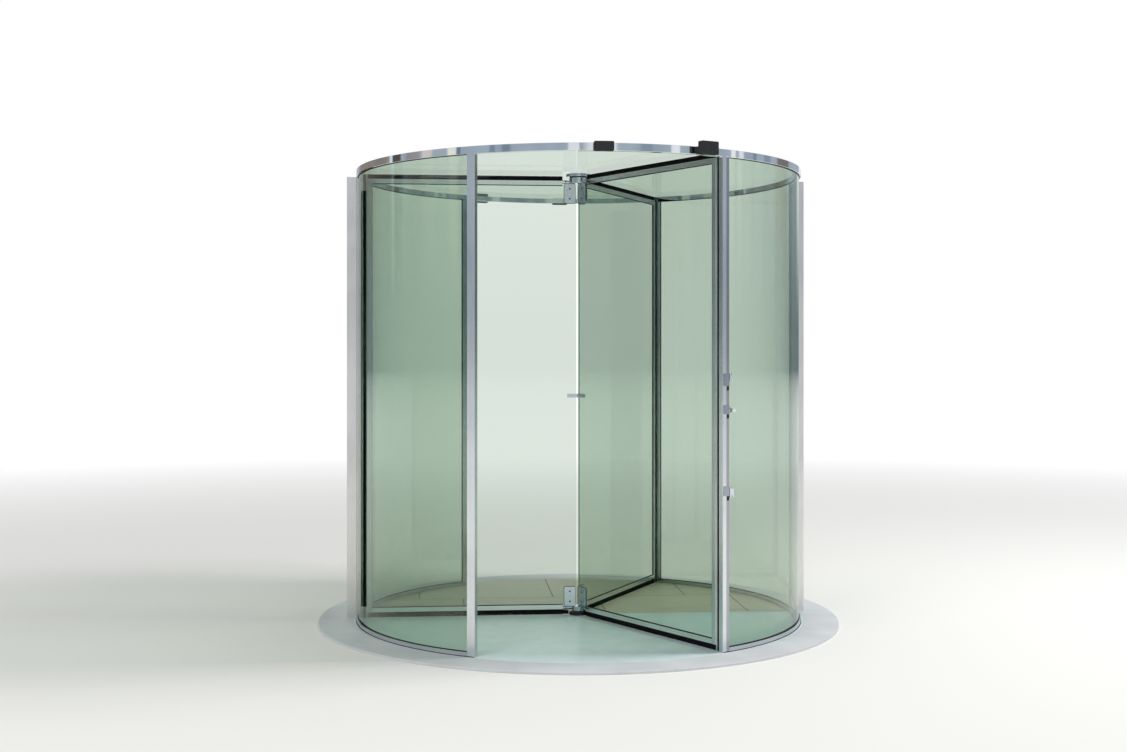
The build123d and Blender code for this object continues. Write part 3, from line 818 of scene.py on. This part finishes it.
def housing_screws():
    """Small screws at the ends of the two housings beside the lock plates, and one at the post's head."""
    head = socket_screw(diameter=0.0055, height=0.0016, socket=0.003)
    places = []
    for width, low, high in (LATCH_HOUSING, KEY_HOUSING):
        for level in (low + HOUSING_SCREW_MARGIN, high - HOUSING_SCREW_MARGIN):
            places.append(on_lock_post(HOUSING_FACE, HOUSING_START + width / 2, level) @ OUTWARDS)
    towards_entrance = Matrix.Rotation(radians(90.0), 4, "X")
    spot = on_lock_post(INNER_RADIUS + HEAD_SCREW_INSET, HEAD_SCREW_ACROSS, RING_BOTTOM - HEAD_SCREW_DROP)
    places.append(spot @ towards_entrance)
    screws = copied(head, "lock_screws", *places)
    discard(head)
    dress(screws, "dark_metal", "drum")


def latch_cap():
    """Bright pressed cap on the end of the latch cylinder."""
    width, low = LATCH_HOUSING[:2]
    cap = cylinder(LATCH_CAP_RADIUS, LATCH_CAP_DEPTH, LATCH_CAP_SEAT)
    mesh = edit(cap, "FACE")
    pick(mesh, cap, is_top)
    bpy.ops.mesh.inset(thickness=LATCH_CAP_RIM, depth=0.0)
    bpy.ops.transform.translate(value=(0, 0, LATCH_CAP_DOME))
    close(cap)
    smooth(cap)
    spot = on_lock_post(LATCH_CYLINDER_END, HOUSING_START + width / 2, low + LATCH_CYLINDER_RISE)
    placed = copied(cap, "latch_cap", spot @ OUTWARDS)
    discard(cap)
    dress(placed, "knob_chrome", "drum")


def rosette_ring():
    """Thin black rubber ring between the rosette of the knob and the glass."""
    low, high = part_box("lock_knob")
    middle = (low.z + high.z) / 2
    ring = revolved(ROSETTE_RADIUS, height=0.0011, size=0.0024)
    spot = turn(-KNOB_ANGLE) @ Matrix.Translation((GLASS_OUTSIDE, 0, middle))
    placed = copied(ring, "rosette_ring", spot @ OUTWARDS)
    discard(ring)
    outwards_only(placed)
    smooth(placed)
    dress(placed, "gasket_rubber", "drum")


# Rubber at the centre of the rotor

CLAMP_WIDTH = 0.075
CLAMP_CORNER = 0.009
PAD_MARGIN = 0.0013
PAD_THICKNESS = 0.001
PAD_PLAY = 0.0002
# Black ring in the hub's gap as painted shade: its radius and play
GAP_SHADE_RING_RADIUS = 0.055
GAP_SHADE_RING_PLAY = 0.0006
HUB_GAP_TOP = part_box("ceiling_bearing")[0].z
HUB_GAP = 0.005


def clamp_pads():
    """Black rubber pads between the clamp plates and the glass, a thin dark line round each plate."""
    places = []
    for node in ("upper_clamps", "lower_clamps"):
        low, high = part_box(node)
        middle = (low.z + high.z) / 2
        places += [
            facing(angle, side, 0, middle, GLASS_HALF)
            for angle in WING_ANGLES
            for side in (-1, 1)
        ]
    length = high.z - low.z + 2 * PAD_MARGIN
    pad = cuboid(
        (CLAMP_MIDDLE, 0, PAD_THICKNESS / 2 + PAD_PLAY),
        (CLAMP_WIDTH + 2 * PAD_MARGIN, length, PAD_THICKNESS),
    )
    mesh = edit(pad, "EDGE")
    pick_edges(mesh, pad, lambda first, second: abs(first.z - second.z) > PAD_THICKNESS / 2)
    bpy.ops.mesh.bevel(offset=CLAMP_CORNER + PAD_MARGIN, segments=5)
    close(pad)
    pads = copied(pad, "clamp_pads", *places)
    discard(pad)
    dress(pads, "gasket_rubber", "rotor")


def gap_shade_ring():
    """Black rubber ring in the gap between the upper hub and the ceiling bearing, painted shade that darkens
    the gap.
    """
    seal = revolved(GAP_SHADE_RING_RADIUS, HUB_GAP_TOP - HUB_GAP / 2, HUB_GAP - GAP_SHADE_RING_PLAY)
    seal.name = seal.data.name = "hub_painted_shade_ring"
    outwards_only(seal)
    smooth(seal)
    # Its black is painted shade in the gap under the ceiling bearing
    dress(seal, "gasket_rubber", "rotor")


clamp_screws("upper_clamp_screws", "upper_clamps")
clamp_screws("lower_clamp_screws", "lower_clamps")
connector_screws()
arm_screws()
painted_shade_slot_inserts()
housing_screws()
latch_cap()
rosette_ring()
clamp_pads()
gap_shade_ring()


# Brush seals of the wings. Bristles bend, so they reach closer to floor, ceiling and curved glass than
# the closed strips that stand for them.

BRUSH_GAP = 0.0015
# Start and end along the wing
INNER_SEAL = (0.064, 0.104)
INNER_SEAL_TOP = 0.043
HOLDER_HEIGHT = 0.009
HOLDER_THICKNESS = 0.0118
TUFT_PITCH = 0.003
TUFT_WIDTH = 0.0027
TUFT_THICKNESS = 0.0085
TUFT_ROOT = 0.002
TIP_SPREAD = 0.0007


def brush_strip(length, reach, seed):
    """A brush along +X that points along +Z: its rolled holder, and a close row of flat bristle tufts."""
    holder = cuboid((length / 2, 0, HOLDER_HEIGHT / 2), (length, HOLDER_THICKNESS, HOLDER_HEIGHT))
    mesh = edit(holder, "EDGE")
    pick_edges(
        mesh,
        holder,
        lambda first, second: abs(first.x - second.x) > length / 2 and first.z > HOLDER_HEIGHT / 2,
    )
    bpy.ops.mesh.bevel(offset=0.002, segments=3)
    close(holder)

    tuft_length = reach - HOLDER_HEIGHT + TUFT_ROOT
    tufts = cuboid(
        (TUFT_PITCH / 2, 0, HOLDER_HEIGHT - TUFT_ROOT + tuft_length / 4),
        (TUFT_WIDTH, TUFT_THICKNESS, tuft_length / 2),
    )
    mesh = edit(tufts, "FACE")
    pick(mesh, tufts, is_top)
    bpy.ops.mesh.extrude_region_move(TRANSFORM_OT_translate={"value": (0, 0, tuft_length / 2)})
    bpy.ops.transform.resize(value=(0.9, 0.82, 1.0))
    close(tufts)
    apply_modifier(
        tufts,
        "ARRAY",
        count=int(length / TUFT_PITCH),
        use_relative_offset=False,
        use_constant_offset=True,
        constant_offset_displace=(TUFT_PITCH, 0, 0),
    )
    mesh = edit(tufts, "VERT")
    pick_corners(mesh, tufts, lambda corner: corner.z > reach - 0.001)
    bpy.ops.transform.vertex_random(offset=TIP_SPREAD, uniform=0.0, normal=0.0, seed=seed)
    bpy.ops.transform.translate(value=(0, 0, -TIP_SPREAD))
    close(tufts)

    return holder, tufts


def inner_seal():
    """Rubber block that closes the bottom gap between the end of the rail and the floor bearing."""
    start, end = INNER_SEAL
    height = INNER_SEAL_TOP - SEAL_BOTTOM
    middle = ((start + end) / 2, 0, SEAL_BOTTOM + height / 2)
    block = cuboid(middle, (end - start, HOLDER_THICKNESS, height))
    mesh = edit(block, "FACE")
    pick(mesh, block, is_top)
    bpy.ops.mesh.inset(thickness=0.002, depth=0.0)
    bpy.ops.mesh.inset(thickness=0.001, depth=-0.0015)
    close(block)
    apply_modifier(block, "BEVEL", width=0.0012, segments=3, limit_method="ANGLE")
    return block


def wing_brushes():
    """Brushes over, under and at the outer end of each wing, and the rubber block at its foot."""
    level_length = STILE_OUTER - RAIL_START
    low = FLOOR_TOP + BRUSH_GAP
    high = CEILING - BRUSH_GAP
    top = joined(brush_strip(level_length, high - TOP_RAIL_TOP, 3), "top")
    bottom = joined(brush_strip(level_length, BOTTOM_RAIL_BOTTOM - low, 5), "bottom")
    side_holder, side_tufts = brush_strip(high - low, INNER_RADIUS - BRUSH_GAP - STILE_OUTER, 7)
    block = inner_seal()
    upwards = Matrix.Translation((RAIL_START, 0, TOP_RAIL_TOP))
    downwards = Matrix.Translation((RAIL_START, 0, BOTTOM_RAIL_BOTTOM)) @ Matrix.Rotation(pi, 4, "X")
    outwards = Matrix(((0, 0, 1, STILE_OUTER), (0, -1, 0, 0), (1, 0, 0, low), (0, 0, 0, 1)))
    pieces = ((top, upwards), (bottom, downwards), (side_tufts, outwards), (block, Matrix()))
    for number, angle in enumerate(WING_ANGLES, start=1):
        parts = [copied(strip, "strip", turn(angle) @ place) for strip, place in pieces]
        brush = joined(parts, f"wing_{number}_brushes")
        dress(brush, "seal_brush", "rotor", f"wing_{number}_seals")
        holder = copied(side_holder, f"wing_{number}_brush_holder", turn(angle) @ outwards)
        dress(holder, "stile_metal", "rotor")
    for strip, _ in pieces:
        discard(strip)
    discard(side_holder)


# Glazing rubber in the frames of the wings

GASKET_HEIGHT = 0.004
STILE_GASKET_HEIGHT = 0.0014
GASKET_WIDTH = 0.0042


def gasket_strip(length, height):
    """A wedge of rubber along +X: flat against the glass, its lip sloping away to the frame."""
    middle = GLASS_HALF + GASKET_WIDTH / 2
    strip = cuboid((length / 2, middle, height / 2), (length, GASKET_WIDTH, height))
    mesh = edit(strip, "EDGE")
    pick_edges(
        mesh,
        strip,
        lambda first, second: min(first.y, second.y) > middle and min(first.z, second.z) > height / 2,
    )
    bpy.ops.mesh.bevel(offset=height * 0.7, segments=4)
    close(strip)
    smooth(strip)
    return strip


def wing_gaskets():
    """Black rubber that shows as a line all round each pane, on both faces."""
    level = gasket_strip(STILE_INNER - RAIL_START, GASKET_HEIGHT)
    clear_height = TOP_RAIL_TOP - BOTTOM_RAIL_BOTTOM - 2 * RAIL_HEIGHT - 2 * GASKET_HEIGHT
    upright = gasket_strip(clear_height, STILE_GASKET_HEIGHT)
    over_bottom_rail = Matrix.Translation((RAIL_START, 0, BOTTOM_RAIL_BOTTOM + RAIL_HEIGHT))
    upside_down = Matrix.Diagonal((1, 1, -1, 1))
    under_top_rail = Matrix.Translation((RAIL_START, 0, TOP_RAIL_TOP - RAIL_HEIGHT)) @ upside_down
    beside_stile = Matrix(
        (
            (0, 0, -1, STILE_INNER),
            (0, 1, 0, 0),
            (1, 0, 0, BOTTOM_RAIL_BOTTOM + RAIL_HEIGHT + GASKET_HEIGHT),
            (0, 0, 0, 1),
        )
    )
    other_face = Matrix.Diagonal((1, -1, 1, 1))
    pieces = ((level, over_bottom_rail), (level, under_top_rail), (upright, beside_stile))
    for number, angle in enumerate(WING_ANGLES, start=1):
        parts = [
            copied(strip, "strip", turn(angle) @ face @ place)
            for strip, place in pieces
            for face in (Matrix(), other_face)
        ]
        gasket = joined(parts, f"wing_{number}_gaskets")
        outwards_only(gasket)
        dress(gasket, "gasket_rubber", "rotor")
    discard(level)
    discard(upright)


# Dark bead where the curved walls stand on the floor, painted shadow along their foot

BEAD_SIZE = 0.0035
# Angle from the X axis at which the bead ends, past the middle of the edge post
BEAD_END = POST_ANGLE + 0.9


def base_shadow_beads():
    """Thin dark bead along the outer foot of each base channel and of its two posts, a painted contact
    shadow.
    """
    middle_x = DRUM_RADIUS + BEAD_SIZE / 2
    middle_z = FLOOR_TOP + BEAD_SIZE / 2
    bead = upright_square(BEAD_SIZE, middle_x, middle_z)
    mesh = edit(bead, "VERT")
    pick_corners(mesh, bead, lambda corner: corner.x > middle_x and corner.z > middle_z)
    bpy.ops.mesh.bevel(offset=BEAD_SIZE * 0.8, segments=3, affect="VERTICES")
    bpy.ops.mesh.select_all(action="SELECT")
    bpy.ops.mesh.spin(steps=96, angle=radians(2 * BEAD_END), center=(0, 0, 0), axis=(0, 0, -1))
    close(bead)
    beads = copied(bead, "base_shadow_beads", turn(-BEAD_END), turn(180.0 - BEAD_END))
    discard(bead)
    outwards_only(beads)
    smooth(beads)
    # The dark bead is painted shadow at the foot of the walls
    dress(beads, "gasket_rubber", "drum")


wing_brushes()
wing_gaskets()
base_shadow_beads()


# Stage

STAGE_RADIUS = 3000.0
HORIZON = "#808a94"


def seen_directly(tree, path):
    """1 where the camera looks past or through the glass, 0 for all that metal and glass mirror."""
    looked = add(
        tree, "Math", {"operation": "MAXIMUM"}, _0=path["Is Camera Ray"], _1=path["Is Transmission Ray"]
    )
    unmirrored = add(tree, "Math", {"operation": "LESS_THAN"}, _0=path["Glossy Depth"], _1=0.5)
    return add(tree, "Math", {"operation": "MULTIPLY"}, _0=looked, _1=unmirrored)


def pale_floor():
    """Plain pale floor that fades into the white backdrop far from the door."""
    start_clean()
    bpy.ops.mesh.primitive_circle_add(
        vertices=96, radius=STAGE_RADIUS, fill_type="NGON", location=(0, 0, 0)
    )
    floor = active_object()
    floor.name = "stage_floor"
    material, tree = empty_material("pale_studio_floor")
    path = add(tree, "LightPath").outputs
    coordinates = add(tree, "TexCoord").outputs["Object"]
    distance = add(tree, "VectorMath", {"operation": "LENGTH"}, _0=coordinates)
    far = add(tree, "MapRange", Value=distance, From_Min=3.5, From_Max=14.0)
    beyond = add(tree, "MapRange", Value=distance, From_Min=25.0, From_Max=110.0)
    near_floor = add(
        tree, "BsdfPrincipled", Base_Color=linear("#e6e6e3"), Roughness=0.8, Specular_IOR_Level=0.2
    )
    mirrored_colour = add(tree, "MixRGB", Fac=beyond, Color1=linear("#f2f4f6"), Color2=linear(HORIZON))
    mirrored_floor = add(tree, "Emission", Color=mirrored_colour, Strength=1.0)
    white = add(tree, "Emission", Color=linear("#ffffff"), Strength=1.0)
    far_mirrored = add(tree, "Math", {"operation": "MULTIPLY"}, _0=path["Is Glossy Ray"], _1=far)
    far_seen = add(tree, "Math", {"operation": "MULTIPLY"}, _0=seen_directly(tree, path), _1=far)
    plain = add(tree, "MixShader", _0=far_mirrored, _1=near_floor, _2=mirrored_floor)
    surface = add(tree, "MixShader", _0=far_seen, _1=plain, _2=white)
    add(tree, "OutputMaterial", Surface=surface)
    floor.data.materials.append(material)


# Dark backdrop behind the left wall: one upright edge, the other, and its height
DARK_CLOTH_EDGES = ((-1.65, 0.47), (-1.905, 0.31))
DARK_CLOTH_HEIGHT = 2.85


def dark_backdrop():
    """Dark cloth that only mirrored rays see, so that the steep left glass doesn't mirror the pale floor."""
    first, last = (Vector((x, y, 0.0)) for x, y in DARK_CLOTH_EDGES)
    width = (last - first).length
    heading = (last - first).to_track_quat("X", "Z").to_euler().z
    middle = (first + last) / 2 + Vector((0.0, 0.0, DARK_CLOTH_HEIGHT / 2))
    cloth = upright_square(1.0, 0, 0)
    cloth.name = "stage_dark_backdrop"
    cloth.data.transform(Matrix.Diagonal((width, 1.0, DARK_CLOTH_HEIGHT, 1.0)))
    cloth.data.transform(Matrix.Translation(middle) @ Matrix.Rotation(heading, 4, "Z"))
    material, tree = empty_material("dark_backdrop_cloth")
    dull = add(tree, "BsdfDiffuse", Color=linear("#14171a"))
    nothing = add(tree, "BsdfTransparent")
    mirrors = add(tree, "LightPath").outputs["Glossy Depth"]
    mirrored = add(tree, "Math", {"operation": "GREATER_THAN"}, _0=mirrors, _1=0.5)
    surface = add(tree, "MixShader", _0=mirrored, _1=nothing, _2=dull)
    add(tree, "OutputMaterial", Surface=surface)
    cloth.data.materials.append(material)


# Share of a panel's half width over which it fades on each side of its edge
PANEL_SOFTNESS = 0.15
# Tall panels round the studio: azimuth of the middle and half width in degrees, and the colour
PANELS = (
    (134.0, 21.0, "#8d867d"),
    (161.0, 4.0, "#57504a"),
    (174.0, 5.0, "#a39c9b"),
    (156.5, 1.2, "#dde9f2"),
    (-176.0, 3.5, "#d3ccc9"),
    (-160.5, 2.6, "#f6f2e6"),
    (-156.5, 1.2, "#6f8496"),
    (-138.0, 1.5, "#8493a4"),
    (-131.0, 2.0, "#8797a8"),
    (-97.4, 3.0, "#f2f4f6"),
    (-84.0, 7.0, "#f2f4f6"),
    (-62.0, 3.0, "#93a2b3"),
    (-47.0, 2.4, "#f2f4f6"),
    (-30.0, 4.0, "#94a3b2"),
    (-12.5, 1.7, "#f2f4f6"),
    (-7.0, 1.7, "#f2f4f6"),
    (3.0, 1.2, "#8293a6"),
    (14.0, 3.0, "#8a9aac"),
    (31.0, 7.0, "#857d76"),
    (66.0, 6.0, "#f2f4f6"),
    (92.0, 9.0, "#e4e8eb"),
)


def studio_world():
    """White for the camera, also through glass, tall soft panels in mirrors, even light for the rest."""
    world = bpy.data.worlds.new("studio")
    world.use_nodes = True
    tree = world.node_tree
    tree.nodes.clear()
    direction = add(tree, "TexCoord").outputs["Generated"]
    parts = add(tree, "SeparateXYZ", Vector=direction).outputs
    azimuth = add(tree, "Math", {"operation": "ARCTAN2"}, _0=parts["Y"], _1=parts["X"])
    reflected = linear("#a9b5c1")
    for middle, half_width, colour in PANELS:
        offset = add(tree, "Math", {"operation": "SUBTRACT"}, _0=azimuth, _1=radians(middle))
        inside = add(
            tree,
            "MapRange",
            Value=add(tree, "Math", {"operation": "ABSOLUTE"}, _0=offset),
            From_Min=radians(half_width * (1 - PANEL_SOFTNESS)),
            From_Max=radians(half_width * (1 + PANEL_SOFTNESS)),
            To_Min=1.0,
            To_Max=0.0,
        )
        reflected = add(tree, "MixRGB", Fac=inside, Color1=reflected, Color2=linear(colour))
    overhead = add(tree, "MapRange", Value=parts["Z"], From_Min=0.3, From_Max=0.6)
    reflected = add(tree, "MixRGB", Fac=overhead, Color1=reflected, Color2=linear("#dfe3e6"))
    low = add(tree, "MapRange", Value=parts["Z"], From_Min=0.02, From_Max=0.12, To_Min=1.0, To_Max=0.0)
    reflected = add(tree, "MixRGB", Fac=low, Color1=reflected, Color2=linear(HORIZON))
    path = add(tree, "LightPath").outputs
    even = add(tree, "Background", Color=linear("#ffffff"), Strength=0.52)
    panels = add(tree, "Background", Color=reflected, Strength=1.0)
    white = add(tree, "Background", Color=linear("#ffffff"), Strength=1.0)
    unseen = add(tree, "MixShader", _0=path["Is Glossy Ray"], _1=even, _2=panels)
    surface = add(tree, "MixShader", _0=seen_directly(tree, path), _1=unseen, _2=white)
    add(tree, "OutputWorld", Surface=surface)
    bpy.context.scene.world = world


look_at_door()
pale_floor()
dark_backdrop()
studio_world()
softbox("key", place=(6.5, -0.5, 9.0), target=(0.0, -0.3, 0.8), size=(2.5, 2.5), power=785.0)
softbox("fill", place=(-6.0, -8.0, 6.0), target=(0.0, 0.0, 1.2), size=(5.0, 5.0), power=350.0)

scene = bpy.context.scene
scene.view_settings.view_transform = "Standard"
scene.cycles.max_bounces = 28
scene.cycles.transmission_bounces = 28
scene.cycles.transparent_max_bounces = 48
scene.cycles.glossy_bounces = 6
scene.cycles.diffuse_bounces = 4
